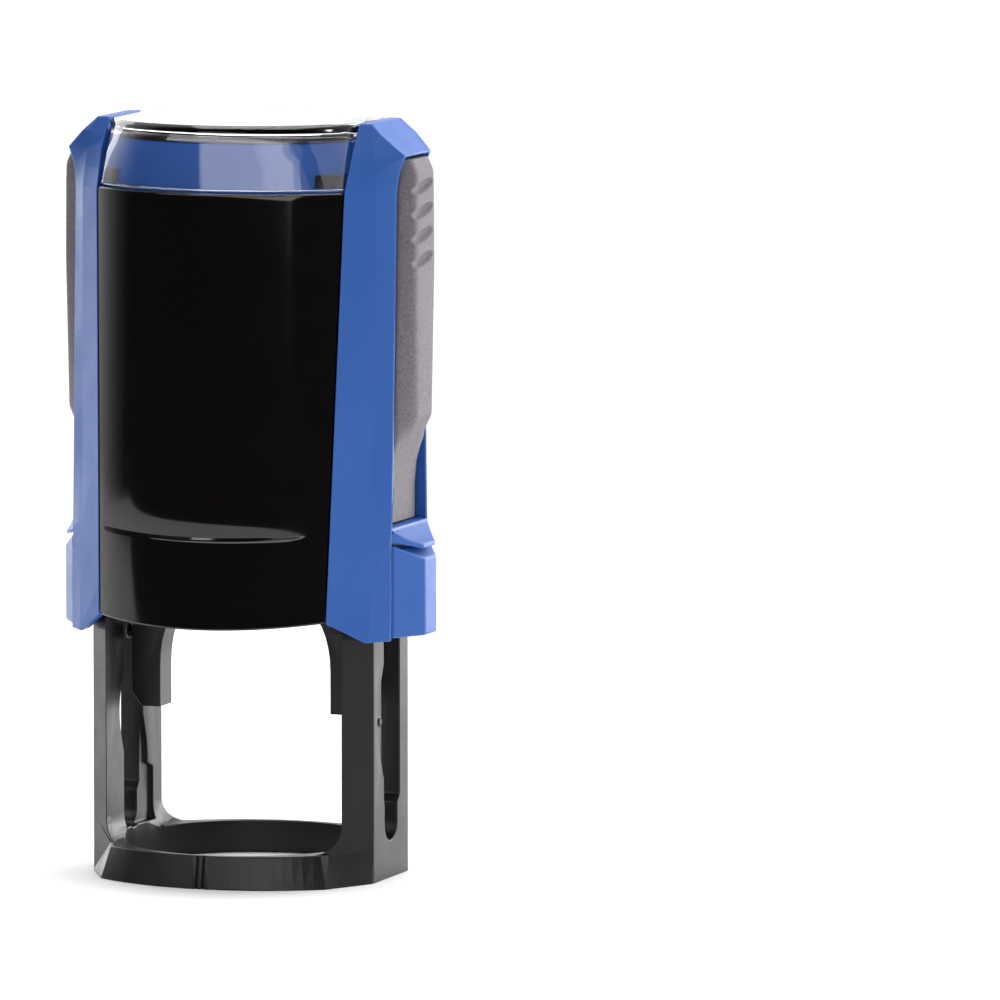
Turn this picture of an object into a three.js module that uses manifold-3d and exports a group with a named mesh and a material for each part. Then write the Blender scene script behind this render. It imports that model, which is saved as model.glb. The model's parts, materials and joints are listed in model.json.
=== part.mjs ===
// A self-inking round stamp, standing at rest with its cap up.
// Millimetres, +Z up. The origin is on the ground under the middle of the stamp.
// +X is the stamp's right-hand side, and its front looks along -Y.
import * as THREE from 'three';
import { mergeVertices } from 'three/addons/utils/BufferGeometryUtils.js';
import Module from 'manifold-3d';

const wasm = await Module();
wasm.setup();

// ---- driving dimensions ----
const stroke = 25.5; // how far the cap is pressed down
const gap = 0.3; // air between pieces that lie against each other
const capFoot = 29.8; // lowest point of the cap at rest
const topHeight = 92.4; // top of the pillars
const skirtHeight = 4; // rim that stands on the paper
const axleHeight = 32.2; // centre of the carrier's axle at rest
const axleRadius = 1.8;
const guideArm = 3.4; // from the axle to the guide pins
const guidePinRadius = 0.95;
const dieRadius = 14.2; // round printing face
const dieFace = axleHeight - stroke; // from the axle to the printing face
const windowFoot = 84.6; // where the clear cover meets the front panel
const panelThickness = 1.1;
const frameSide = 18.3; // outer face of the frame's side walls
const openingHalf = 15.3; // half the width of the frame's front opening

// The cap's outline changes with height. Each line below runs up the right front
// quarter as stations of [height, x, y], and the other quarters mirror it.
const panelEdge = [
  [29, 14.6, -13.2], [84, 16.0, -9.95], [88.6, 16.2, -7.9], [90.6, 16.2, -6.5], [92.4, 16.2, -5.2],
];
const ridge = [
  [29, 18.75, -9.3], [36, 18.85, -8.6], [52, 18.85, -7.8], [84, 19.0, -7.1], [90.6, 18.5, -6.0],
  [92.4, 17.8, -5.0],
];
const sideEdge = [
  [29, 20.75, -6.75], [43, 20.75, -6.3], [56, 20.78, -5.85], [84, 20.85, -4.85], [86.4, 21.1, -4.65],
  [88.6, 21.85, -4.6], [92.4, 21.85, -4.6],
];
const crown = [[29, 0, -18.3], [84, 0, -16.2], [91, 0, -15.1], [92.4, 0, -14.3]];
// Inner corner of the pillars, clear of the frame that slides up inside them.
const innerCorner = [[29, 15.6, -9.7], [56, 15.6, -9.7], [76, 16.2, -7.9], [88.5, 16.6, -6.0]];
const innerSide = [[29, 18.6, -6.2], [56, 18.6, -6.2], [76, 18.6, -4.9], [88.5, 18.6, -3.4]];
// Outer face of the grips, and their raised crease.
const gripFace = [
  [43.8, 19.6, -2.4], [47.6, 19.65, -2.4], [50.8, 20.0, -2.5], [53, 20.7, -2.6], [55, 21.9, -2.7],
  [56.6, 22.75, -2.8], [75, 22.9, -3.6], [86.4, 22.9, -3.4], [88.0, 22.2, -2.9],
];

// ---- helpers ----
const stations = (...lines) => {
  const heights = lines.flatMap((line) => line.map(([z]) => z));
  return [...new Set(heights)].sort((a, b) => a - b);
};

function along(line, z) {
  const last = line.length - 1;
  if (z <= line[0][0]) return { x: line[0][1], y: line[0][2] };
  if (z >= line[last][0]) return { x: line[last][1], y: line[last][2] };
  const i = line.findIndex(([height]) => height > z);
  const [z0, x0, y0] = line[i - 1];
  const [z1, x1, y1] = line[i];
  const t = (z - z0) / (z1 - z0);
  return { x: x0 + t * (x1 - x0), y: y0 + t * (y1 - y0) };
}

// Points of the arc from (-halfWidth, endY) through (0, middleY) to (halfWidth, endY).
function arc(halfWidth, endY, middleY, steps) {
  const rise = endY - middleY;
  const radius = (halfWidth ** 2 + rise ** 2) / (2 * rise);
  const sweep = Math.asin(halfWidth / radius);
  return Array.from({ length: steps + 1 }, (_, i) => {
    const angle = -sweep + (2 * sweep * i) / steps;
    return [radius * Math.sin(angle), middleY + radius - radius * Math.cos(angle)];
  });
}

const turned = (points) => points.map(([x, y]) => [-x, -y]);

// A closed solid through rings of [x, y, z] points, each counter-clockwise from above.
function loft(rings) {
  const count = rings[0].length;
  const triangles = [];
  for (let level = 0; level < rings.length - 1; level += 1) {
    for (let i = 0; i < count; i += 1) {
      const a = level * count + i;
      const b = level * count + ((i + 1) % count);
      triangles.push(a, b, b + count, a, b + count, a + count);
    }
  }
  const cap = (ring) => THREE.ShapeUtils.triangulateShape(ring.map(([x, y]) => new THREE.Vector2(x, y)), []);
  const top = (rings.length - 1) * count;
  cap(rings[0]).forEach(([a, b, c]) => triangles.push(a, c, b));
  cap(rings.at(-1)).forEach(([a, b, c]) => triangles.push(top + a, top + b, top + c));
  const geometry = new THREE.BufferGeometry();
  geometry.setAttribute('position', new THREE.Float32BufferAttribute(rings.flat(2), 3));
  geometry.setIndex(triangles);
  return geometry;
}

// A loft whose outline at each height comes from a function.
const loftBy = (heights, outline) => loft(heights.map((z) => outline(z).map(([x, y]) => [x, y, z])));

function prism(points, length) {
  const shape = new THREE.Shape(points.map(([x, y]) => new THREE.Vector2(x, y)));
  return new THREE.ExtrudeGeometry(shape, { depth: length, bevelEnabled: false, curveSegments: 12 });
}

const upright = (points, from, to) => prism(points, to - from).translate(0, 0, from);

// An outline of [x, z] points carried along Y, from -halfLength to halfLength.
const alongY = (points, halfLength) => (
  prism(points, 2 * halfLength).rotateX(Math.PI / 2).translate(0, halfLength, 0)
);

// An outline of [y, z] points carried along X.
function alongX(points, from, to) {
  const turn = new THREE.Matrix4().makeBasis(
    new THREE.Vector3(0, 1, 0),
    new THREE.Vector3(0, 0, 1),
    new THREE.Vector3(1, 0, 0),
  );
  return prism(points, to - from).applyMatrix4(turn).translate(from, 0, 0);
}

const box = (x0, x1, y0, y1, z0, z1) => (
  new THREE.BoxGeometry(x1 - x0, y1 - y0, z1 - z0)
    .translate((x0 + x1) / 2, (y0 + y1) / 2, (z0 + z1) / 2)
);

const disc = (radius, z0, z1, sides = 48) => (
  new THREE.CylinderGeometry(radius, radius, z1 - z0, sides).rotateX(Math.PI / 2)
    .translate(0, 0, (z0 + z1) / 2)
);

const rodAlongX = (radius, x0, x1, z = 0, sides = 24) => (
  new THREE.CylinderGeometry(radius, radius, x1 - x0, sides).rotateZ(Math.PI / 2)
    .translate((x0 + x1) / 2, 0, z)
);

const halfTurned = (geometry) => geometry.clone().rotateZ(Math.PI);

function toSolid(geometry) {
  const bare = geometry.clone();
  bare.deleteAttribute('normal');
  bare.deleteAttribute('uv');
  const merged = mergeVertices(bare, 1e-4);
  return new wasm.Manifold(new wasm.Mesh({
    numProp: 3,
    vertProperties: new Float32Array(merged.attributes.position.array),
    triVerts: new Uint32Array(merged.index.array),
  }));
}

function toGeometry(solid) {
  const mesh = solid.getMesh();
  const geometry = new THREE.BufferGeometry();
  geometry.setAttribute('position', new THREE.Float32BufferAttribute(mesh.vertProperties, 3));
  geometry.setIndex([...mesh.triVerts]);
  return geometry;
}

// Joins the first list of geometries and cuts the second list away.
function build(joined, cut = []) {
  const solid = joined.map(toSolid).reduce((sum, next) => sum.add(next));
  return toGeometry(cut.map(toSolid).reduce((rest, next) => rest.subtract(next), solid));
}

function part(name, geometry, { color, roughness = 0.5, metalness = 0, opacity = 1 }) {
  const material = new THREE.MeshStandardMaterial({
    color,
    roughness,
    metalness,
    opacity,
    transparent: opacity < 1,
  });
  const mesh = new THREE.Mesh(geometry, material);
  mesh.name = name;
  return mesh;
}

// ---- finishes ----
const blue = { color: 0x3c66b0, roughness: 0.42 };
const gloss = { color: 0x0b0a0c, roughness: 0.08 };
const black = { color: 0x17161a, roughness: 0.38 };
const softGrey = { color: 0x7a767c, roughness: 0.85 };
const clear = { color: 0xdfe6f2, roughness: 0.05, opacity: 0.3 };
const paper = { color: 0xf6f6f4, roughness: 0.8 };
const felt = { color: 0x1d2a5c, roughness: 0.95 };
const rubber = { color: 0xb9a78c, roughness: 0.7 };
const plateGrey = { color: 0x8d9096, roughness: 0.5 };
const steel = { color: 0xb8bbc0, roughness: 0.25, metalness: 1 };

// ---- base frame ----
const postHalf = 9.3; // half the depth of a side wall on its inner face
const flatHalf = 6.0; // half the depth of its flat outer face, between the bevels
const taperFoot = 30; // the walls grow narrower from here
const taperTop = 46;
const footRound = 3; // radius of the round corners between the posts and the rim
const guideDepth = 16.3; // the guide grooves stop short of the outer face
const outerRecess = 17.95; // floor of the shallow recess outside each guide groove
const trackFloor = 15.85; // floor of the track on the walls' inner faces

// Rim: a bowed front and rear that spread towards the foot, where a facet at each corner
// runs out from the bevel of the post.
function skirtOutline(z) {
  const t = z / skirtHeight;
  const front = arc(14.64 - 1.04 * t, -12.9 + 0.9 * t, -17.7 + 0.8 * t, 24);
  const facet = [18.15 - 3.85 * t, -6.55 - 3.85 * t];
  const right = [facet, [frameSide, -flatHalf], [frameSide, flatHalf], [facet[0], -facet[1]]];
  return [...front, ...right, ...turned(front), ...turned(right)];
}

// One side wall with bevelled corners. Its foot spreads along the rim in a round corner.
function wallOutline(z) {
  const t = THREE.MathUtils.clamp((z - taperFoot) / (taperTop - taperFoot), 0, 1);
  const post = postHalf - 1.6 * t;
  const flat = flatHalf - 1.4 * t;
  const below = THREE.MathUtils.clamp(1 - (z - skirtHeight) / footRound, 0, 1);
  const spread = 2.7 * (1 - Math.sqrt(1 - below ** 2));
  const slope = (post - flat) / (frameSide - openingHalf);
  const front = [
    [openingHalf - spread / 2, 1.4 - post - spread / 4],
    [openingHalf - spread, -post - slope * spread],
    [frameSide, -flat],
  ];
  return [...front, ...front.map(([x, y]) => [x, -y]).reverse()];
}

// The carrier turns by a half turn while the cap travels its stroke, so the guide pin
// runs down a bowed path. The outline is that path, moved out by the pin and its play.
function guidePath() {
  const reach = guidePinRadius + gap;
  const steps = 16;
  const outer = Array.from({ length: steps + 1 }, (_, i) => {
    const turn = (Math.PI * i) / steps;
    const across = -guideArm * Math.cos(turn);
    const down = -stroke / Math.PI + guideArm * Math.sin(turn);
    const size = Math.hypot(across, down);
    return [
      -guideArm * Math.sin(turn) + (reach * down) / size,
      axleHeight - (stroke * turn) / Math.PI - guideArm * Math.cos(turn) - (reach * across) / size,
    ];
  });
  return [...outer, [0.5, outer.at(-1)[1]], [0.5, outer[0][1]]];
}

// Straight part of the slot: wide above, and narrow with a round foot below.
function axleSlot() {
  const front = -2.4;
  const rear = 3;
  const narrow = 2.15;
  const shoulder = 10; // where the slot grows narrower
  const top = axleHeight + 3;
  const foot = axleHeight - stroke - axleRadius - gap;
  const round = Array.from({ length: 9 }, (_, i) => {
    const angle = Math.PI + (Math.PI * i) / 8;
    return [narrow * Math.cos(angle), foot + narrow + narrow * Math.sin(angle)];
  });
  return [...round, [narrow, shoulder - 1], [rear, shoulder], [rear, top], [front, top],
    [front, shoulder], [-narrow, shoulder - 1]];
}

// Shallow track on the inner face of a wall. Its rear edge bends like the guide groove,
// and both edges step outwards at its foot.
function trackOutline() {
  const steps = 10;
  const bend = Array.from({ length: steps + 1 }, (_, i) => {
    const t = i / steps;
    return [4.4 - 1.9 * t * t * (3 - 2 * t), 13 + 8 * t];
  });
  return [[-3.3, 4.9], [6.2, 4.9], [6.2, 11.4], [4.4, 12], ...bend, [2.5, 38], [-3.3, 38]];
}

const deckFoot = 47.5;
const deckTop = 49.3;
const cupTop = 53;
const cupOuter = 7.2; // cups that hold the ends of the return spring
const cupInner = 6.2;

function deckOutline() {
  const front = arc(13.4, -10.4, -14.4, 10);
  const right = [[openingHalf, -8.2], [frameSide, -4.8], [frameSide, 4.8], [openingHalf, 8.2]];
  return [...front, ...right, ...turned(front), ...turned(right)];
}

function baseFrame() {
  const wallHeights = [
    0.5, skirtHeight, skirtHeight + 0.15, skirtHeight + 0.6, skirtHeight + 1.3, skirtHeight + 2.1,
    skirtHeight + footRound, taperFoot, taperTop, deckTop - 0.2,
  ];
  const wall = loftBy(wallHeights, wallOutline);
  const mouth = new THREE.CylinderGeometry(1, 1, 20, 64).rotateX(Math.PI / 2)
    .scale(openingHalf, 15.9, 1);
  const ledge = box(14.2, 16.2, 5.2, 6.9, 39.6, 41.2);
  const ledges = [ledge, halfTurned(ledge), ledge.clone().translate(0, -12.1, 0)];
  ledges.push(halfTurned(ledges[2]));
  const mark = [[-19, -1], [-17.65, -1], [-16.45, 5], [-19, 5]];
  const shell = build(
    [
      loftBy([0, skirtHeight], skirtOutline), wall, halfTurned(wall), ...ledges,
      upright(deckOutline(), deckFoot, deckTop), disc(cupOuter, deckTop - 0.5, cupTop, 40),
    ],
    [
      mouth, disc(cupInner, deckTop, cupTop + 1, 40), alongX(axleSlot(), -25, 25),
      alongX(trackOutline(), -trackFloor, trackFloor), alongX(guidePath(), -guideDepth, guideDepth),
      alongX(guidePath(), outerRecess, 25), alongX(guidePath(), -25, -outerRecess),
      alongX(mark, -0.5, -0.3), alongX(mark, 0.3, 0.5),
    ],
  );
  const studs = [1, -1].map((side) => (
    rodAlongX(0.5, outerRecess - 0.3, frameSide - 0.1, axleHeight - stroke / 2, 16)
      .translate(0, side * -3.3, 0).rotateZ(side > 0 ? 0 : Math.PI)
  ));
  return build([shell, ...studs]);
}

// ---- ink cartridge ----
const padFace = 41.3;
const trayFoot = 41.7;
const trayTop = 47.1;

function inkCartridge() {
  const halfWidth = 14.9;
  const radius = 15.15;
  const end = -Math.sqrt(radius ** 2 - halfWidth ** 2);
  const front = arc(halfWidth, end, -radius, 20);
  const finger = box(-5, 5, -16, -14.2, 43.4, 45.4);
  return build(
    [upright([...front, ...turned(front)], trayFoot, trayTop)],
    [disc(dieRadius + 0.35, trayFoot - 1, 45.2), finger, halfTurned(finger)],
  );
}

const inkPad = () => disc(dieRadius + 0.05, padFace, 44.9);

// ---- turning carrier, drawn about its own axle ----
const armEnd = -12.3; // lower end of the arms below the axle
const armIn = 11.1;
const armOut = 14.8;
const armHalf = 1.95;

function dieCarrier() {
  const rimTop = dieFace - 4.7;
  const rimFoot = rimTop - 1.5;
  const archFoot = -7.1;
  const archHalf = 7.4; // the arch between the arms starts this far from the middle
  const arch = Array.from({ length: 9 }, (_, i) => {
    const angle = (Math.PI / 2) * (1 - i / 8);
    return [
      archHalf + (armIn - archHalf) * Math.cos(angle),
      archFoot + (rimFoot - archFoot) * Math.sin(angle),
    ];
  });
  // Arm seen from the front: a bevelled foot, and an arch that runs into the round rim.
  const side = [
    [armIn, armEnd], [armOut - 1.2, armEnd], [armOut, armEnd + 1.7], [armOut, rimTop],
    [archHalf, rimTop], ...arch,
  ];
  const arm = alongY(side, armHalf);
  const boss = rodAlongX(3.1, armIn, armOut);
  return build(
    [disc(dieRadius + 0.2, rimFoot, rimTop), arm, halfTurned(arm), boss, halfTurned(boss)],
    [
      box(-16, 16, -16, 16, rimTop, rimTop + 8),
      rodAlongX(axleRadius + 0.25, armIn + 1, armOut + 1),
      rodAlongX(axleRadius + 0.25, -armOut - 1, -armIn - 1),
      rodAlongX(guidePinRadius + 0.25, armIn + 1, armOut + 1, -guideArm, 16),
      rodAlongX(guidePinRadius + 0.25, -armOut - 1, -armIn - 1, -guideArm, 16),
    ],
  );
}

// ---- return spring ----
const springFoot = deckTop + 0.5;
const springTop = 88.7;

class Helix extends THREE.Curve {
  constructor(radius, foot, top, turns) {
    super();
    Object.assign(this, { radius, foot, top, turns });
  }

  getPoint(t, target = new THREE.Vector3()) {
    const angle = 2 * Math.PI * this.turns * t;
    const height = this.foot + (this.top - this.foot) * t;
    return target.set(this.radius * Math.cos(angle), this.radius * Math.sin(angle), height);
  }
}

function returnSpring() {
  const wire = new THREE.Shape();
  const wireRadius = 0.5;
  wire.absarc(0, 0, wireRadius, 0, 2 * Math.PI);
  const turns = 8;
  const path = new Helix(4.9, springFoot + wireRadius, springTop - wireRadius, turns);
  const options = { steps: turns * 12, curveSegments: 3, bevelEnabled: false, extrudePath: path };
  return new THREE.ExtrudeGeometry(wire, options);
}

// ---- cap ----
const plateTop = 90.2; // top of the shell, under the card
const coreFoot = 76;
const gripFoot = 43.8;
const seatTop = 88.3; // the grip's seat ends just under the shoulder
const waistTop = 56.6; // the grips fill openings in the shell below this height
const hookHalf = 1.3; // hook on the back of each side button
const hookFoot = 36.5;
const hookTop = 38.5;

const sideOutline = (z) => {
  const front = [along(panelEdge, z), along(ridge, z), along(sideEdge, z)].map(({ x, y }) => [x, y]);
  return [...front, ...front.map(([x, y]) => [x, -y]).reverse()];
};

// The hollow that the frame's posts slide in.
const hollowOutline = (z) => {
  const edge = along(panelEdge, z);
  const corner = along(innerCorner, z);
  const side = along(innerSide, z);
  const front = [
    [edge.x - 8, edge.y + 1.2], [edge.x, edge.y + 1.2], [corner.x, corner.y], [side.x, side.y],
  ];
  return [...front, ...front.map(([x, y]) => [x, -y]).reverse()];
};

// Front and rear bows at a height, drawn in by an inset, with straight shoulders on each
// side where the outline is wider than the bow.
const bowed = (bowHalf, inset, z, fullHalf = bowHalf) => {
  const end = along(panelEdge, z).y + inset;
  const bow = arc(bowHalf, end, along(crown, z).y + inset, 16);
  const front = fullHalf > bowHalf ? [[-fullHalf, end], ...bow, [fullHalf, end]] : bow;
  return [...front, ...turned(front)];
};

// Cuts off the pillars' upper outer edge as a sloping shoulder.
const shoulderCut = () => {
  const foot = 88.55;
  return alongY([[17.7, 92.5], [21.95, foot], [30, foot], [30, 100], [17.7, 100]], 20);
};

// Space for the grip, a little narrower than the side between the pillars' edges.
const seatOutline = (inset, inner) => (z) => {
  const half = -along(sideEdge, z).y - inset;
  return [[inner, -half], [26, -half], [26, half], [inner, half]];
};

// The lip over the side button: thin, falling outwards, and running up into the waist.
function buttonLip() {
  const profile = [
    [19.2, 42.3], [20.75, 41.8], [23.3, 40.7], [23.3, 41.25], [21.9, 42.1], [20.9, 43.0],
    [20.3, 43.6], [19.2, 43.6],
  ];
  const plan = [[19, -6.35], [20.74, -6.35], [23.3, -2], [23.3, 2], [20.74, 6.35], [19, 6.35]];
  return toGeometry(toSolid(alongY(profile, 8)).intersect(toSolid(upright(plan, 38, 46))));
}

// Bearing for the axle, open below so that the axle snaps in, with a window for the
// hook of the side button.
const bearingTongue = () => build(
  [box(18.6, 19.6, -4.1, 4.1, 30.1, 43.2)],
  [
    rodAlongX(axleRadius + 0.2, 18, 21, axleHeight), box(18, 21, -1.6, 1.6, 29, axleHeight),
    box(18, 21, -hookHalf - gap, hookHalf + gap, hookFoot - gap, hookTop + gap),
  ],
);

function capSide() {
  const heights = [capFoot, ...stations(panelEdge, ridge, sideEdge).filter((z) => z > capFoot)];
  const footCut = alongY([[10, 20], [18.4, 20], [18.4, 29.9], [14.4, 32.5], [10, 32.5]], 25);
  const hollow = stations(innerCorner, innerSide);
  const buttonOpening = box(18.5, 26, -6.4, 6.4, 20, 42.3);
  const seatInset = 0.45;
  return build(
    [
      build(
        [loftBy(heights, sideOutline)],
        [
          loftBy(hollow, hollowOutline), shoulderCut(), footCut, buttonOpening,
          loftBy([gripFoot - gap, waistTop, 84, 86.4, seatTop], seatOutline(seatInset, 19.7)),
          loftBy([gripFoot - gap, waistTop], seatOutline(seatInset, 17)),
        ],
      ),
      bearingTongue(), buttonLip(),
    ],
  );
}

function capShell() {
  const side = capSide();
  const coreHeights = [coreFoot, 84, 88.6, plateTop];
  const cavityHeights = [coreFoot - 1, 84, 88.7];
  return build(
    [
      side, halfTurned(side), loftBy(coreHeights, (z) => bowed(15.7, 1.5, z, 16.7)),
    ],
    [loftBy(cavityHeights, (z) => bowed(15.7, 3.0, z))],
  );
}

function springBoss(shell) {
  const cup = build([disc(cupOuter, 86.7, 89, 40)], [disc(cupInner, 86, 88.9, 40)]);
  return build([shell, cup]);
}

// Black panel between the pillars. Its lower edge hangs a little lower in the middle.
function panel() {
  const steps = 16;
  const outline = (z) => {
    const half = along(panelEdge, z).x - 0.2;
    const outer = arc(half, along(panelEdge, z).y, along(crown, z).y, steps);
    const inner = outer.map(([x, y]) => [x, y + panelThickness]).reverse();
    return [...outer, ...inner].map(([x, y]) => [x, y, z]);
  };
  const sag = 0.8;
  const foot = outline(32.4).map(([x, y, z]) => [x, y, z - sag * (1 - (x / 14.6) ** 2)]);
  return loft([foot, outline(36), outline(50), outline(70), outline(windowFoot - gap)]);
}

function labelWindow() {
  const halfWidth = 15.75;
  const wall = 1.2;
  const heights = [windowFoot, 88.6, 90.6, 91.9, topHeight];
  return build(
    [loftBy(heights, (z) => bowed(halfWidth, z > 92 ? 0.5 : 0, z))],
    [loftBy([windowFoot - 1, 88.6, topHeight - wall], (z) => bowed(halfWidth, wall, z, 18))],
  );
}

const indexCard = () => upright(bowed(15.3, 2.2, topHeight - 1.6), plateTop + gap, topHeight - 1.5);

function grip() {
  const heights = stations(gripFace);
  const outline = (z) => {
    const half = -along(sideEdge, z).y - 0.8;
    const face = along(gripFace, z);
    const crease = Math.max(face.y, 0.6 - half);
    const edge = Math.min(face.x - 0.05, 20.9);
    return [[18.9, -half + 1], [18.9 + 0.3, -half], [edge, -half], [face.x, crease],
      [face.x, -crease], [edge, half], [18.9 + 0.3, half], [18.9, half - 1]];
  };
  const back = box(17, 20, -9, 9, waistTop - gap, 95);
  return build([loftBy(heights, outline)], [back]);
}

// Side button that frees the cap from its lock: a bevelled block, hollow behind.
function lockButton() {
  const plan = [
    [20.2, -6.1], [20.9, -6.1], [23.5, -1.95], [23.5, 1.95], [20.9, 6.1], [20.2, 6.1],
  ];
  const slope = [[19, 41.9], [20.75, 41.3], [24, 39.2], [24, 45], [19, 45]];
  const hook = box(20.25, 22, -hookHalf, hookHalf, hookFoot, hookTop);
  const hollow = box(19, 21.3, -4.5, 4.5, 29, 43);
  return build([build([upright(plan, 30.1, 42)], [alongY(slope, 9), hollow]), hook]);
}

// ---- assembly ----
const group = new THREE.Group();

const base = new THREE.Group();
base.add(
  part('base_frame', baseFrame(), black),
  part('ink_cartridge', inkCartridge(), black),
  part('ink_pad', inkPad(), felt),
  part('return_spring', returnSpring(), steel),
);

const cap = new THREE.Group();
const rearPanel = part('rear_panel', panel(), gloss);
rearPanel.rotation.z = Math.PI;
const leftGrip = part('grip_left', grip(), softGrey);
leftGrip.rotation.z = Math.PI;
const leftButton = part('lock_button_left', lockButton(), blue);
leftButton.rotation.z = Math.PI;
cap.add(
  part('cap_shell', springBoss(capShell()), blue),
  part('front_panel', panel(), gloss),
  rearPanel,
  part('label_window', labelWindow(), clear),
  part('index_card', indexCard(), paper),
  part('grip_right', grip(), softGrey),
  leftGrip,
  part('lock_button_right', lockButton(), blue),
  leftButton,
);

const carrier = new THREE.Group();
carrier.position.z = axleHeight;
const guideEnd = guideDepth - gap;
carrier.add(
  part('die_carrier', dieCarrier(), black),
  part('text_plate', disc(dieRadius + 0.1, dieFace - 4.4, dieFace - 3.0), plateGrey),
  part('rubber_die', disc(dieRadius, dieFace - 2.7, dieFace), rubber),
);
for (const [side, name] of [[1, 'right'], [-1, 'left']]) {
  const axle = part(`axle_pin_${name}`, rodAlongX(axleRadius, armIn + 1.3, 19.5), black);
  const guide = part(`guide_pin_${name}`, rodAlongX(guidePinRadius, armIn + 1.3, guideEnd, 0, 16), black);
  axle.rotation.z = side > 0 ? 0 : Math.PI;
  guide.rotation.z = axle.rotation.z;
  guide.position.z = -guideArm;
  carrier.add(axle, guide);
}

group.add(base, cap, carrier);

export default group;
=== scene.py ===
"""Looks for the self-inking stamp: finishes, moulded detail, studio and camera."""

import json
import math

import bmesh
import bpy
import numpy as np
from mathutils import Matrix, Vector


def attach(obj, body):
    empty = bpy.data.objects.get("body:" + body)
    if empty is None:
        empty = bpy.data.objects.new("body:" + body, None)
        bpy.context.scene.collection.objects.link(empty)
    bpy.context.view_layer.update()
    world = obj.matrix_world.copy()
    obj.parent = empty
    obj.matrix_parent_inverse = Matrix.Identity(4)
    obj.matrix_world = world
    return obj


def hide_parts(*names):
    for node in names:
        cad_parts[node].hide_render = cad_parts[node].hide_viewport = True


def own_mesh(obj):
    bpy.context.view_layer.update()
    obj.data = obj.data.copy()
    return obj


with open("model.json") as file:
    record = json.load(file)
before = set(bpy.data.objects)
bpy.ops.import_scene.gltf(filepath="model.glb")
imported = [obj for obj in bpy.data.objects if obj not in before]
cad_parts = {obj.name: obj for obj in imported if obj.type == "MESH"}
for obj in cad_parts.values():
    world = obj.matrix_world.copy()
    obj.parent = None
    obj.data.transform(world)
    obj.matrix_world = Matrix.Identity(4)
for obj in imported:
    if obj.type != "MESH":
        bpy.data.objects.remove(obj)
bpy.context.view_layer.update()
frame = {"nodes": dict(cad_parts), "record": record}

MM = 0.001
NODES = frame["nodes"]
BODY_OF = {
    node: body for body, nodes in frame["record"]["behaviour"]["bodies"].items() for node in nodes
}
SLOT_OF = {row["node"]: row["material_slot"] for row in frame["record"]["subparts"]}


# ---------------------------------------------------------------- camera and studio

CAMERA_AZIMUTH = math.radians(21.07)
CAMERA_ELEVATION = math.radians(6.30)
CAMERA_DISTANCE = 1.5
CAMERA_LENS = 442.9
STAMP_MIDDLE = Vector((0, 0, 0.047))
AIM_RIGHT = 0.03046  # the stamp stands left of the middle of the view
AIM_DOWN = 0.00151


def make_camera():
    """Long lens, level with the stamp and a little to its right, aimed past its right side."""
    azimuth, elevation = CAMERA_AZIMUTH, CAMERA_ELEVATION
    back = Vector((
        math.sin(azimuth) * math.cos(elevation),
        -math.cos(azimuth) * math.cos(elevation),
        math.sin(elevation),
    ))
    right = Vector((math.cos(azimuth), math.sin(azimuth), 0))
    up = back.cross(right)
    camera = bpy.data.objects.new("camera", bpy.data.cameras.new("camera"))
    camera.data.lens = CAMERA_LENS
    camera.data.sensor_width = 36
    camera.data.clip_end = 20
    camera.location = STAMP_MIDDLE + back * CAMERA_DISTANCE
    aim = STAMP_MIDDLE + right * AIM_RIGHT - up * AIM_DOWN
    camera.rotation_mode = "QUATERNION"
    camera.rotation_quaternion = (aim - camera.location).to_track_quat("-Z", "Y")
    bpy.context.scene.collection.objects.link(camera)
    bpy.context.scene.camera = camera


def soft_light(name, place, power, width, height, turn=0.0, mirrored=True, lights=True):
    """One rectangular softbox aimed at the stamp, turned about its own axis.

    One that isn't mirrored doesn't show in polished faces, and one that doesn't light
    only shows in them.
    """
    lamp = bpy.data.lights.new(name, "AREA")
    lamp.shape = "RECTANGLE"
    lamp.size, lamp.size_y = width, height
    lamp.energy = power
    holder = bpy.data.objects.new(name, lamp)
    holder.location = place
    facing = (STAMP_MIDDLE - Vector(place)).to_track_quat("-Z", "Y").to_euler()
    holder.rotation_euler = facing
    holder.rotation_euler.rotate_axis("Z", math.radians(turn))
    holder.visible_glossy = mirrored
    holder.visible_diffuse = lights
    bpy.context.scene.collection.objects.link(holder)


def make_world():
    """White all round behind and above, and dark low down in front of the polished panel."""
    world = bpy.data.worlds.new("studio")
    bpy.context.scene.world = world
    world.use_nodes = True
    tree = world.node_tree
    tree.nodes.clear()
    place = tree.nodes.new("ShaderNodeTexCoord")
    split = tree.nodes.new("ShaderNodeSeparateXYZ")
    depth = tree.nodes.new("ShaderNodeMapRange")
    depth.interpolation_type = "SMOOTHSTEP"
    depth.inputs["From Min"].default_value = -0.3
    depth.inputs["From Max"].default_value = 0.5
    depth.inputs["To Min"].default_value = 0.03
    depth.inputs["To Max"].default_value = 1.3
    path = tree.nodes.new("ShaderNodeLightPath")
    choose = tree.nodes.new("ShaderNodeMix")
    choose.inputs["B"].default_value = 1.1
    light = tree.nodes.new("ShaderNodeBackground")
    light.inputs["Color"].default_value = (1, 1, 1, 1)
    out = tree.nodes.new("ShaderNodeOutputWorld")
    links = tree.links
    links.new(place.outputs["Generated"], split.inputs[0])
    links.new(split.outputs["Y"], depth.inputs["Value"])
    links.new(depth.outputs["Result"], choose.inputs["A"])
    links.new(path.outputs["Is Camera Ray"], choose.inputs["Factor"])
    links.new(choose.outputs["Result"], light.inputs["Strength"])
    links.new(light.outputs[0], out.inputs[0])


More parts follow.
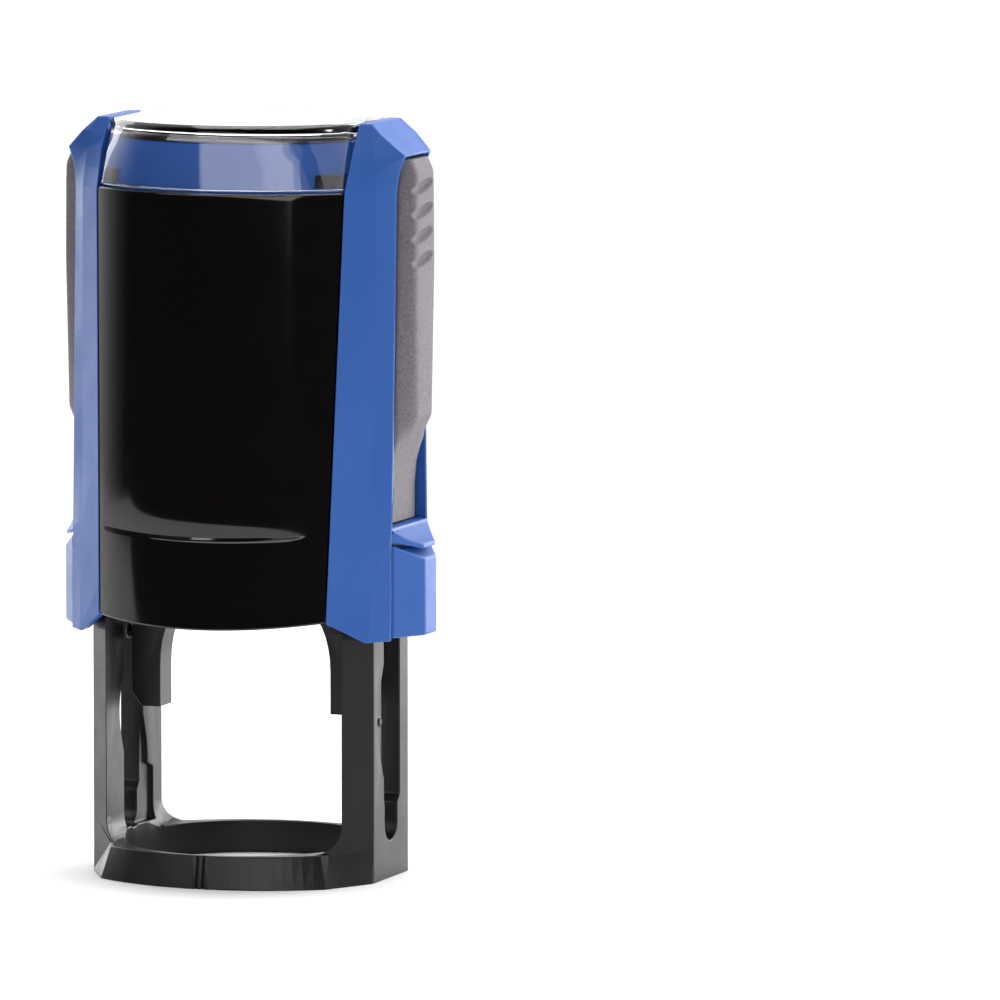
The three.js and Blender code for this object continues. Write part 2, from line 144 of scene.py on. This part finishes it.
def make_studio():
    make_world()
    bpy.context.scene.view_settings.view_transform = "Standard"
    soft_light("box_front_top", (0.10, -0.75, 0.62), 2.3, 1.3, 0.55, -14)
    soft_light("box_right", (0.75, -0.25, 0.22), 1.7, 0.5, 0.7, mirrored=False)
    soft_light("box_right_rear", (0.45, 0.65, 0.18), 6.0, 0.6, 0.6)
    soft_light("box_left_rear", (-0.55, 0.45, 0.2), 2.4, 0.5, 0.6)
    soft_light("box_cover", (-0.10, -0.90, 0.47), 8.0, 2.0, 0.5, -12, lights=False)
    soft_light("box_top", (0.0, 0.1, 0.7), 4.0, 0.6, 0.5)
    near, far, side = -0.22, 0.3, 0.6
    mesh = bpy.data.meshes.new("floor")
    mesh.from_pydata(
        [(-side, near, 0), (side, near, 0), (side, far, 0), (-side, far, 0)], [], [(0, 1, 2, 3)]
    )
    floor = bpy.data.objects.new("floor", mesh)
    bpy.context.scene.collection.objects.link(floor)
    floor.data.materials.append(shader("floor_paint", (0.97, 0.97, 0.97), 0.9)[0])


# ---------------------------------------------------------------- materials

def shader(name, colour, roughness, **sockets):
    """A new material: its tree, its main shader, and constants set on the shader."""
    material = bpy.data.materials.new(name)
    material.use_nodes = True
    tree = material.node_tree
    main = tree.nodes["Principled BSDF"]
    main.inputs["Base Color"].default_value = (*colour, 1)
    main.inputs["Roughness"].default_value = roughness
    for socket, value in sockets.items():
        main.inputs[socket.replace("_", " ")].default_value = value
    return material, tree, main


def noise_at(tree, scale, detail=3.0):
    """Noise in the stamp's own space."""
    place = tree.nodes.new("ShaderNodeTexCoord")
    noise = tree.nodes.new("ShaderNodeTexNoise")
    noise.inputs["Scale"].default_value = scale
    noise.inputs["Detail"].default_value = detail
    tree.links.new(place.outputs["Object"], noise.inputs["Vector"])
    return noise


def grain(tree, main, scale, depth, detail=3.0):
    """A fine bump of noise on the surface."""
    noise = noise_at(tree, scale, detail)
    bump = tree.nodes.new("ShaderNodeBump")
    bump.inputs["Strength"].default_value = 1.0
    bump.inputs["Distance"].default_value = depth
    tree.links.new(noise.outputs["Fac"], bump.inputs["Height"])
    tree.links.new(bump.outputs["Normal"], main.inputs["Normal"])


def uneven_polish(tree, main, scale, low, high):
    """Roughness that drifts between two values, as handled plastic does."""
    noise = noise_at(tree, scale, 4.0)
    spread = tree.nodes.new("ShaderNodeMapRange")
    spread.inputs["From Min"].default_value = 0.3
    spread.inputs["From Max"].default_value = 0.7
    spread.inputs["To Min"].default_value = low
    spread.inputs["To Max"].default_value = high
    tree.links.new(noise.outputs["Fac"], spread.inputs["Value"])
    tree.links.new(spread.outputs["Result"], main.inputs["Roughness"])


def uneven_colour(tree, main, scale, first, second):
    """Colour that drifts between two near tones."""
    noise = noise_at(tree, scale, 4.0)
    ramp = tree.nodes.new("ShaderNodeValToRGB")
    ramp.color_ramp.elements[0].position = 0.35
    ramp.color_ramp.elements[1].position = 0.65
    ramp.color_ramp.elements[0].color = (*first, 1)
    ramp.color_ramp.elements[1].color = (*second, 1)
    tree.links.new(noise.outputs["Fac"], ramp.inputs["Fac"])
    tree.links.new(ramp.outputs["Color"], main.inputs["Base Color"])


def moulded_blue():
    material, tree, main = shader("moulded_blue", (0.022, 0.098, 0.37), 0.4, Specular_IOR_Level=0.3)
    uneven_colour(tree, main, 60, (0.020, 0.094, 0.36), (0.024, 0.102, 0.38))
    uneven_polish(tree, main, 220, 0.36, 0.46)
    grain(tree, main, 9000, 0.000006)
    return material


def satin_black():
    material, tree, main = shader(
        "satin_black", (0.0055, 0.0048, 0.0055), 0.35, Specular_IOR_Level=0.3,
    )
    uneven_polish(tree, main, 260, 0.30, 0.42)
    grain(tree, main, 7000, 0.000006)
    return material


def polished_black():
    material, tree, main = shader("polished_black", (0.0035, 0.0025, 0.003), 0.06)
    uneven_polish(tree, main, 120, 0.04, 0.09)
    grain(tree, main, 350, 0.000001)
    return material


def soft_grey():
    material, tree, main = shader("soft_grey", (0.145, 0.132, 0.145), 0.75)
    uneven_colour(tree, main, 3800, (0.115, 0.104, 0.115), (0.175, 0.160, 0.175))
    grain(tree, main, 4200, 0.00004)
    return material


def clear_plastic():
    material, tree, main = shader(
        "clear_plastic", (0.95, 0.96, 1.0), 0.02, Transmission_Weight=1.0, IOR=1.49,
    )
    uneven_polish(tree, main, 200, 0.01, 0.03)
    grain(tree, main, 300, 0.0000008)
    return material


# Dark finish for the snap tabs; the same material paints shade on the ring under the card.
def dark_tabs_and_painted_shade():
    material, tree, main = shader("dark_tabs_and_painted_shade", (0.012, 0.006, 0.005), 0.2)
    uneven_polish(tree, main, 300, 0.15, 0.28)
    return material


def card_stock():
    material, tree, main = shader("card_stock", (0.92, 0.92, 0.91), 0.7)
    uneven_colour(tree, main, 900, (0.89, 0.89, 0.88), (0.94, 0.94, 0.93))
    grain(tree, main, 3000, 0.00001)
    return material


def inked_felt():
    material, tree, main = shader("inked_felt", (0.012, 0.018, 0.10), 0.85)
    uneven_colour(tree, main, 500, (0.008, 0.012, 0.07), (0.018, 0.028, 0.15))
    grain(tree, main, 2500, 0.00015, 6.0)
    return material


def cut_rubber():
    material, tree, main = shader("cut_rubber", (0.38, 0.29, 0.20), 0.6)
    uneven_colour(tree, main, 300, (0.33, 0.25, 0.17), (0.43, 0.33, 0.23))
    grain(tree, main, 2500, 0.00003)
    return material


def grey_plate():
    material, tree, main = shader("grey_plate", (0.24, 0.25, 0.27), 0.45)
    uneven_polish(tree, main, 260, 0.4, 0.52)
    grain(tree, main, 6000, 0.00001)
    return material


def drawn_steel():
    material, tree, main = shader("drawn_steel", (0.62, 0.62, 0.64), 0.22, Metallic=1.0)
    uneven_polish(tree, main, 900, 0.16, 0.3)
    return material


FINISHES = {
    "cap_blue": moulded_blue,
    "panel_black": polished_black,
    "frame_black": satin_black,
    "grip_grey": soft_grey,
    "window_clear": clear_plastic,
    "card_white": card_stock,
    "pad_felt": inked_felt,
    "die_rubber": cut_rubber,
    "plate_grey": grey_plate,
    "steel": drawn_steel,
}


# ---------------------------------------------------------------- mesh helpers

FLAT = 0.6  # faces that meet at less than this angle, in degrees, are one flat face


def stand_for(piece, node):
    """The piece rides on the node's body and is shown instead of it."""
    slot = SLOT_OF[node]
    if not piece.data.materials:
        piece.data.materials.append(materials[slot])
    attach(piece, BODY_OF[node])
    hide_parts(node)


def new_piece(name, mesh):
    piece = bpy.data.objects.new(name, mesh)
    bpy.context.scene.collection.objects.link(piece)
    return piece


def rounded_edges(piece, width, segments=3, angle=30):
    """A bevel on every edge sharper than the angle."""
    bevel = piece.modifiers.new("rounded_edges", "BEVEL")
    bevel.width = width * MM
    bevel.segments = segments
    bevel.limit_method = "ANGLE"
    bevel.angle_limit = math.radians(angle)
    bevel.use_clamp_overlap = False
    bevel.miter_outer = "MITER_ARC"


def shade(mesh, angle):
    mesh.shade_smooth()
    mesh.set_sharp_from_angle(angle=math.radians(angle))


def from_rings(name, rings, smooth_angle=35):
    """A closed surface through rings of points, closed at both ends by a fan of faces."""
    rings = np.asarray(rings, dtype=float) * MM
    levels, count, _ = rings.shape
    points = np.concatenate([rings.reshape(-1, 3), rings[0].mean(0)[None], rings[-1].mean(0)[None]])
    level, step = np.meshgrid(np.arange(levels - 1), np.arange(count), indexing="ij")
    here = (level * count + step).ravel()
    beside = (level * count + (step + 1) % count).ravel()
    quads = np.stack([here, beside, beside + count, here + count], 1)
    around = np.arange(count)
    following = (around + 1) % count
    last = (levels - 1) * count
    foot = np.stack([following, around, np.full(count, levels * count)], 1)
    head = np.stack([last + around, last + following, np.full(count, levels * count + 1)], 1)
    mesh = bpy.data.meshes.new(name)
    mesh.from_pydata(points, [], quads.tolist() + foot.tolist() + head.tolist())
    facing_out(mesh)
    shade(mesh, smooth_angle)
    return new_piece(name, mesh)


def facing_out(mesh):
    """Merges doubled points and turns every face outwards."""
    work = bmesh.new()
    work.from_mesh(mesh)
    bmesh.ops.remove_doubles(work, verts=work.verts, dist=1e-7)
    bmesh.ops.recalc_face_normals(work, faces=work.faces)
    work.to_mesh(mesh)
    work.free()


def moulded(node, width, segments=3, angle=25, merge=0.05):
    """A copy of a frame node, its flat faces made whole and its edges rounded.

    Corners closer together than the merge distance, in millimetres, become one, because
    an edge much shorter than the rounding would fold it inside out.
    """
    mesh = bpy.data.meshes.new(node + "_moulded")
    work = bmesh.new()
    work.from_mesh(NODES[node].data)
    bmesh.ops.remove_doubles(work, verts=work.verts, dist=merge * MM)
    bmesh.ops.dissolve_limit(
        work, angle_limit=math.radians(FLAT), verts=work.verts, edges=work.edges
    )
    work.to_mesh(mesh)
    work.free()
    shade(mesh, angle)
    piece = new_piece(node + "_moulded", mesh)
    if width:
        rounded_edges(piece, width, segments, angle)
    stand_for(piece, node)
    return piece


def up_line(stations):
    """A line of [height, x, y] stations as two functions of height."""
    table = np.array(stations, dtype=float)
    return (
        lambda z: np.interp(z, table[:, 0], table[:, 1]),
        lambda z: np.interp(z, table[:, 0], table[:, 2]),
    )


def bow(half, end, middle, across):
    """Y of the circular bow from (-half, end) through (0, middle), at the given X."""
    rise = end - middle
    radius = (half**2 + rise**2) / (2 * rise)
    return middle + radius - np.sqrt(np.maximum(radius**2 - across**2, 0))


def averaged(points, axis, times, closed):
    """Rounds corners: each point moves towards its neighbours, several times over."""
    for _ in range(times):
        before, after = np.roll(points, 1, axis), np.roll(points, -1, axis)
        mixed = (before + 2 * points + after) / 4
        if not closed:
            ends = np.moveaxis(mixed, axis, 0)
            kept = np.moveaxis(points, axis, 0)
            ends[0], ends[-1] = kept[0], kept[-1]
        points = mixed
    return points


def half_turned(rings):
    return np.asarray(rings) * np.array([-1.0, -1.0, 1.0])


# ---------------------------------------------------------------- outlines of the cap

PANEL_X, PANEL_Y = up_line([
    (29, 14.6, -13.2), (84, 16.0, -9.95), (88.6, 16.2, -7.9), (90.6, 16.2, -6.5), (92.4, 16.2, -5.2),
])
SIDE_X, SIDE_Y = up_line([
    (29, 20.75, -6.75), (43, 20.75, -6.3), (56, 20.78, -5.85), (84, 20.85, -4.85), (86.4, 21.1, -4.65),
    (88.6, 21.85, -4.6), (92.4, 21.85, -4.6),
])
CROWN_Y = up_line([(29, 0, -18.3), (84, 0, -16.2), (91, 0, -15.1), (92.4, 0, -14.3)])[1]
GRIP_X, GRIP_Y = up_line([
    (43.8, 19.6, -2.4), (47.6, 19.65, -2.4), (50.8, 20.0, -2.5), (53, 20.7, -2.6), (55, 21.9, -2.7),
    (56.6, 22.75, -2.8), (75, 22.9, -3.6), (86.4, 22.9, -3.4), (88.0, 22.2, -2.9),
])


# ---------------------------------------------------------------- polished panels

PANEL_TOP = 84.3
PANEL_FOOT = 32.4
PANEL_SAG = 0.8
PANEL_THICKNESS = 1.1
DENT_LINE = 42.8  # height of the crisp line, which rises a little to both sides
DENT_RISE = 0.5
DENT_DEPTH = 0.42
DENT_FADE = 1.5  # the scoop dies away upwards over about this height
DENT_LEDGE = 0.45


def polished_panel(node, turned):
    """Bowed sheet: X runs across, Z runs up, and Y is the bow between the pillars' edges.

    Its foot hangs lower in the middle. A shallow crescent is scooped out above a crisp
    line near its foot, deepest in the middle and fading to nothing at both ends. The rows
    of the sheet follow that line and crowd together on both sides of it.
    """
    below = 1 - (1 - np.linspace(0, 1, 41)) ** 1.5
    above = np.linspace(0, 1, 161)[1:] ** 1.5
    rise = np.concatenate([below - 1, above])[None, :]
    across = np.linspace(-1, 1, 97)[:, None]
    foot = PANEL_FOOT - PANEL_SAG * (1 - across**2)
    line = DENT_LINE + DENT_RISE * across**2
    z = line + np.where(rise < 0, (line - foot) * rise, (PANEL_TOP - line) * rise)
    across = across + 0 * rise
    x = (PANEL_X(z) - 0.2) * across
    y = bow(PANEL_X(z) - 0.2, PANEL_Y(z), CROWN_Y(z), x)
    above_line = z - line
    scoop = np.clip(1 - (across / 0.95) ** 2, 0, 1)
    drop = np.where(above_line > 0, np.exp(-np.maximum(above_line, 0) / DENT_FADE), 0)
    ledge = np.clip(1 + above_line / DENT_LEDGE, 0, 1)
    dent = DENT_DEPTH * scoop * np.where(above_line > 0, drop, ledge)
    outer = np.stack([x, y + dent, z], -1)
    inner = np.stack([x, y + PANEL_THICKNESS, z], -1)
    rings = np.concatenate([outer, inner[:, ::-1]], 1)
    if turned:
        rings = half_turned(rings)
    mesh = solid_of_sections(node + "_polished", rings)
    piece = new_piece(node + "_polished", mesh)
    rounded_edges(piece, 0.22, 4, 70)
    stand_for(piece, node)


def solid_of_sections(name, sections, smooth_angle=40):
    """A closed mesh through sections side by side, each a closed loop, with flat ends."""
    sections = np.asarray(sections) * MM
    levels, count, _ = sections.shape
    level, step = np.meshgrid(np.arange(levels - 1), np.arange(count), indexing="ij")
    here = (level * count + step).ravel()
    beside = (level * count + (step + 1) % count).ravel()
    quads = np.stack([here, beside, beside + count, here + count], 1).tolist()
    half = count // 2
    strip = np.arange(half - 1)
    for first in (0, (levels - 1) * count):
        ends = np.stack([
            first + strip, first + strip + 1, first + count - 2 - strip, first + count - 1 - strip,
        ], 1)
        quads += ends.tolist()
    mesh = bpy.data.meshes.new(name)
    mesh.from_pydata(sections.reshape(-1, 3), [], quads)
    facing_out(mesh)
    shade(mesh, smooth_angle)
    return mesh


# ---------------------------------------------------------------- clear cover and card

COVER_FOOT = 84.6
COVER_TOP = 92.4
COVER_HALF = 15.75
COVER_WALL = 1.2
COVER_BRIM = 0.55  # radius of the rounded brim
COVER_END = 0.3  # thickness of the two ends


def cover_ring(z, inset, end=None, steps=48):
    """Closed outline at a height: a bow in front, its half turn behind, drawn in by an inset.

    The two ends are drawn in by the same inset unless another is given for them.
    """
    across = np.linspace(-1, 1, steps) * (COVER_HALF - (inset if end is None else end))
    front = bow(COVER_HALF, PANEL_Y(z), CROWN_Y(z), across) + inset
    ring = np.stack([across, front, np.full(steps, float(z))], -1)
    return np.concatenate([ring, ring * np.array([-1, -1, 1.0])])


def clear_cover():
    """Cup turned upside down: outer wall, rounded brim, flat top, inner wall, thin ends."""
    ceiling = COVER_TOP - COVER_WALL
    rings = [cover_ring(ceiling, inset) for inset in (14.0, 8.0, 3.0, 1.7)]
    for z in np.linspace(ceiling - 0.4, COVER_FOOT, 14):
        rings.append(cover_ring(z, COVER_WALL, COVER_END))
    for z in np.linspace(COVER_FOOT, COVER_TOP - COVER_BRIM, 16):
        rings.append(cover_ring(z, 0.0))
    for angle in np.linspace(10, 90, 8):
        turn = math.radians(angle)
        height = COVER_TOP - COVER_BRIM + COVER_BRIM * math.sin(turn)
        rings.append(cover_ring(height, COVER_BRIM * (1 - math.cos(turn))))
    rings += [cover_ring(COVER_TOP, inset) for inset in (1.6, 4.0, 9.0, 14.0)]
    piece = from_rings("label_window_clear", rings, 50)
    rounded_edges(piece, 0.12, 2, 60)
    stand_for(piece, "label_window")


TAB_INNER, TAB_OUTER = 12.5, 15.35
TAB_BEHIND = 1.25  # from the cover's face to the tab
TAB_THICKNESS = 0.25
TAB_HEIGHTS = {"low": (84.9, 86.4), "high": (90.3, 91.15)}


def snap_tab(name, low, high, end, side):
    """A thin dark plate behind the cover's face, bent to its bow."""
    across = np.linspace(TAB_INNER, TAB_OUTER, 12)
    rings = []
    for x in across:
        y0 = bow(COVER_HALF, PANEL_Y(low), CROWN_Y(low), x) + TAB_BEHIND
        y1 = bow(COVER_HALF, PANEL_Y(high), CROWN_Y(high), x) + TAB_BEHIND
        rings.append([
            (x, y0, low), (x, y1, high), (x, y1 + TAB_THICKNESS, high), (x, y0 + TAB_THICKNESS, low),
        ])
    mesh = solid_of_sections(name, np.array(rings) * np.array([end, side, 1.0]))
    piece = new_piece(name, mesh)
    rounded_edges(piece, 0.06, 2, 50)
    piece.data.materials.append(tab_and_shade_dark)
    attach(piece, "window")


def snap_tabs():
    """Two tabs, low and high, at each end of the front and rear of the clear cover."""
    for side in (-1, 1):
        for end in (-1, 1):
            for level, (low, high) in TAB_HEIGHTS.items():
                depth = "rear" if side < 0 else "front"
                width = "left" if end < 0 else "right"
                snap_tab(f"snap_tab_{depth}_{width}_{level}", low, high, end, side)


def card_and_painted_shade_ring():
    """Card drawn as a thin plate, over a dark ring of painted shade that shows through the clear
    cover, where the gap between card and cover lies in shadow.
    """
    steps = ((90.52, 14.0), (90.5, 2.3), (90.52, 2.2), (90.88, 2.2), (90.9, 2.3), (90.9, 14.0))
    card = from_rings("index_card_cut", [cover_ring(z, inset) for z, inset in steps])
    stand_for(card, "index_card")
    corners = ((90.25, 1.75), (90.25, 1.35), (91.05, 1.35), (91.05, 1.75))
    # The dark ring is painted shade: a dark sheet that stands for the shadowed gap between the card
    # and the cover.
    rim = tube_of_rings("card_painted_shade_ring", [cover_ring(z, inset) for z, inset in corners])
    rim.data.materials.append(tab_and_shade_dark)
    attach(rim, "cap")


def tube_of_rings(name, rings, smooth_angle=35):
    """A closed ring-shaped solid through rings that follow one another round its section."""
    rings = np.asarray(rings, dtype=float) * MM
    levels, count, _ = rings.shape
    level, step = np.meshgrid(np.arange(levels), np.arange(count), indexing="ij")
    after = (level + 1) % levels
    here = (level * count + step).ravel()
    beside = (level * count + (step + 1) % count).ravel()
    above = (after * count + step).ravel()
    across = (after * count + (step + 1) % count).ravel()
    mesh = bpy.data.meshes.new(name)
    mesh.from_pydata(rings.reshape(-1, 3), [], np.stack([here, beside, across, above], 1).tolist())
    facing_out(mesh)
    shade(mesh, smooth_angle)
    return new_piece(name, mesh)


# ---------------------------------------------------------------- soft grips

GRIP_FOOT, GRIP_TOP = 43.8, 88.0
GRIP_INSET = 0.8  # from the side's edge to the grip's
GRIP_EDGE = 20.9  # where the face folds back to the seat
GRIP_WAIST = 56.3  # the grip is deeper below this height
SEAT_BACK, LOWER_BACK = 20.02, 18.9
SCOOP_HEIGHTS = (84.75, 81.8, 78.85, 75.9)
SCOOP_HALF = 0.75
SCOOP_DEPTH = 0.7
SCOOP_SLANT = 0.16
SCOOP_FORWARD = 0.9  # the scoops sit a little towards the front of the face
SCOOP_REACH = 3.3


def soft_grip(node, turned):
    """Loft of an eight-cornered outline up the side, with its corners rounded.

    Four lens-shaped scoops cross its upper face. Each is an ellipse that slants up
    towards the rear, deepest in the middle and running out to nothing at its outline.
    """
    heights = np.linspace(GRIP_FOOT, GRIP_TOP, 295)
    half = -SIDE_Y(heights) - GRIP_INSET
    face = GRIP_X(heights)
    crease = -np.maximum(GRIP_Y(heights), 0.6 - half)
    edge = np.minimum(face - 0.05, GRIP_EDGE)
    back = np.where(heights > GRIP_WAIST, SEAT_BACK, LOWER_BACK)
    back = averaged(back, 0, 2, False)
    corners = np.array([
        (back, half - 0.6), (np.minimum(back + 0.25, edge), half), (edge, half), (face, crease),
        (face, -crease), (edge, -half), (np.minimum(back + 0.25, edge), -half), (back, -half + 0.6),
    ])
    corners = np.moveaxis(corners, 2, 0)
    steps = (4, 8, 18, 40, 18, 8, 4, 24)
    ring = []
    for index, count in enumerate(steps):
        first, second = corners[:, index], corners[:, (index + 1) % len(steps)]
        share = (np.arange(count) / count)[None, :, None]
        ring.append(first[:, None] * (1 - share) + second[:, None] * share)
    plan = averaged(np.concatenate(ring, 1), 1, 36, True)
    plan = averaged(plan, 0, 6, False)
    x, y = plan[..., 0], plan[..., 1]
    z = np.repeat(heights[:, None], x.shape[1], 1)
    outward = np.clip((x - GRIP_EDGE) / 0.9, 0, 1)
    for middle in SCOOP_HEIGHTS:
        away = (z - middle + SCOOP_SLANT * y) / SCOOP_HALF
        reach = (y - SCOOP_FORWARD) / SCOOP_REACH
        x = x - SCOOP_DEPTH * np.clip(1 - away**2 - reach**2, 0, 1) ** 0.7 * outward
    rings = np.stack([x, -y, z], -1)
    if turned:
        rings = half_turned(rings)
    stand_for(from_rings(node + "_soft", rings, 60), node)


# ---------------------------------------------------------------- inner parts

SPRING_FOOT = 49.8
SPRING_TOP = 88.7
SPRING_COIL = 4.9
SPRING_WIRE = 0.5
SPRING_TURNS = 9


def coil_spring():
    """Round wire along a helix whose first and last turns lie flat."""
    share = np.linspace(0, 1, 640)
    turn = 2 * math.pi * SPRING_TURNS * share
    lift = np.clip((share * SPRING_TURNS - 0.9) / (SPRING_TURNS - 1.8), 0, 1)
    lift = averaged(lift, 0, 60, False)
    low, high = SPRING_FOOT + SPRING_WIRE, SPRING_TOP - SPRING_WIRE
    height = low + (high - low) * lift
    path = np.stack([SPRING_COIL * np.cos(turn), SPRING_COIL * np.sin(turn), height], -1)
    outward = np.stack([np.cos(turn), np.sin(turn), 0 * turn], -1)
    along = np.gradient(path, axis=0)
    along /= np.linalg.norm(along, axis=1, keepdims=True)
    upward = np.cross(along, outward)
    angle = np.linspace(0, 2 * math.pi, 16, endpoint=False)[None, :, None]
    rings = path[:, None] + SPRING_WIRE * (
        outward[:, None] * np.cos(angle) + upward[:, None] * np.sin(angle)
    )
    piece = from_rings("return_spring_coil", rings, 60)
    stand_for(piece, "return_spring")
    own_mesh(piece)


def round_plate(name, radii, heights, face, relief, around):
    """A body of revolution about Z through (radius, height) pairs.

    The relief lifts the rings whose number is in the face.
    """
    angle = np.linspace(0, 2 * math.pi, around, endpoint=False)
    rings = []
    for number, (radius, height) in enumerate(zip(radii, heights)):
        lift = relief(radius, angle) if number in face else 0 * angle
        rings.append(np.stack([radius * np.cos(angle), radius * np.sin(angle), height + lift], -1))
    return from_rings(name, rings, 50)


def printing_die():
    """Rubber disc with a raised border, an inner ring and a ring of plain bars."""
    top, floor, foot, radius = 38.9, 38.2, 36.2, 14.2

    def relief(at, angle):
        border = (13.0 < at < 13.9) or (12.2 < at < 12.6) or (7.6 < at < 8.0) or at < 2.2
        bars = (9.0 < at < 11.2) * (np.cos(24 * angle) > 0.1)
        rays = (3.2 < at < 6.6) * (np.cos(8 * angle) > 0.55)
        return (top - floor) * np.clip(border + bars + rays, 0, 1)

    rim = [(0.05, foot), (radius - 0.15, foot), (radius, foot + 0.15), (radius, floor - 0.1)]
    face = [(across, floor) for across in np.linspace(radius - 0.1, 0.05, 150)]
    radii, heights = zip(*rim, *face)
    lifted = range(len(rim), len(rim) + len(face))
    stand_for(round_plate("rubber_die_cut", radii, heights, lifted, relief, 360), "rubber_die")


def ink_felt():
    """Felt disc with a soft rounded edge and a face that is a little uneven."""
    def uneven(radius, angle):
        return 0.035 * np.sin(7 * angle + radius) * np.sin(1.9 * radius)

    radii = np.concatenate([np.linspace(0.05, 13.6, 40), [13.95, 14.15, 14.2, 14.2, 14.0, 0.05]])
    heights = np.concatenate([np.full(40, 41.36), [41.37, 41.5, 41.8, 44.6, 44.9, 44.9]])
    stand_for(round_plate("ink_pad_felt", radii, heights, range(39), uneven, 180), "ink_pad")


# ---------------------------------------------------------------- making everything

materials = {slot: make() for slot, make in FINISHES.items()}
# one dark material for the snap tabs and for the ring of painted shade under the card
tab_and_shade_dark = dark_tabs_and_painted_shade()

for row in frame["record"]["subparts"]:
    NODES[row["node"]].data.materials.clear()
    NODES[row["node"]].data.materials.append(materials[row["material_slot"]])

moulded("cap_shell", 0.16, merge=0.12)
moulded("base_frame", 0.16)
moulded("die_carrier", 0.12)
moulded("ink_cartridge", 0.15)
moulded("text_plate", 0.2)
for side in ("right", "left"):
    moulded("lock_button_" + side, 0.3, 4)
    moulded("axle_pin_" + side, 0.2)
    moulded("guide_pin_" + side, 0.15)
polished_panel("front_panel", False)
polished_panel("rear_panel", True)
soft_grip("grip_right", False)
soft_grip("grip_left", True)
clear_cover()
snap_tabs()
card_and_painted_shade_ring()
coil_spring()
printing_die()
ink_felt()

make_camera()
make_studio()
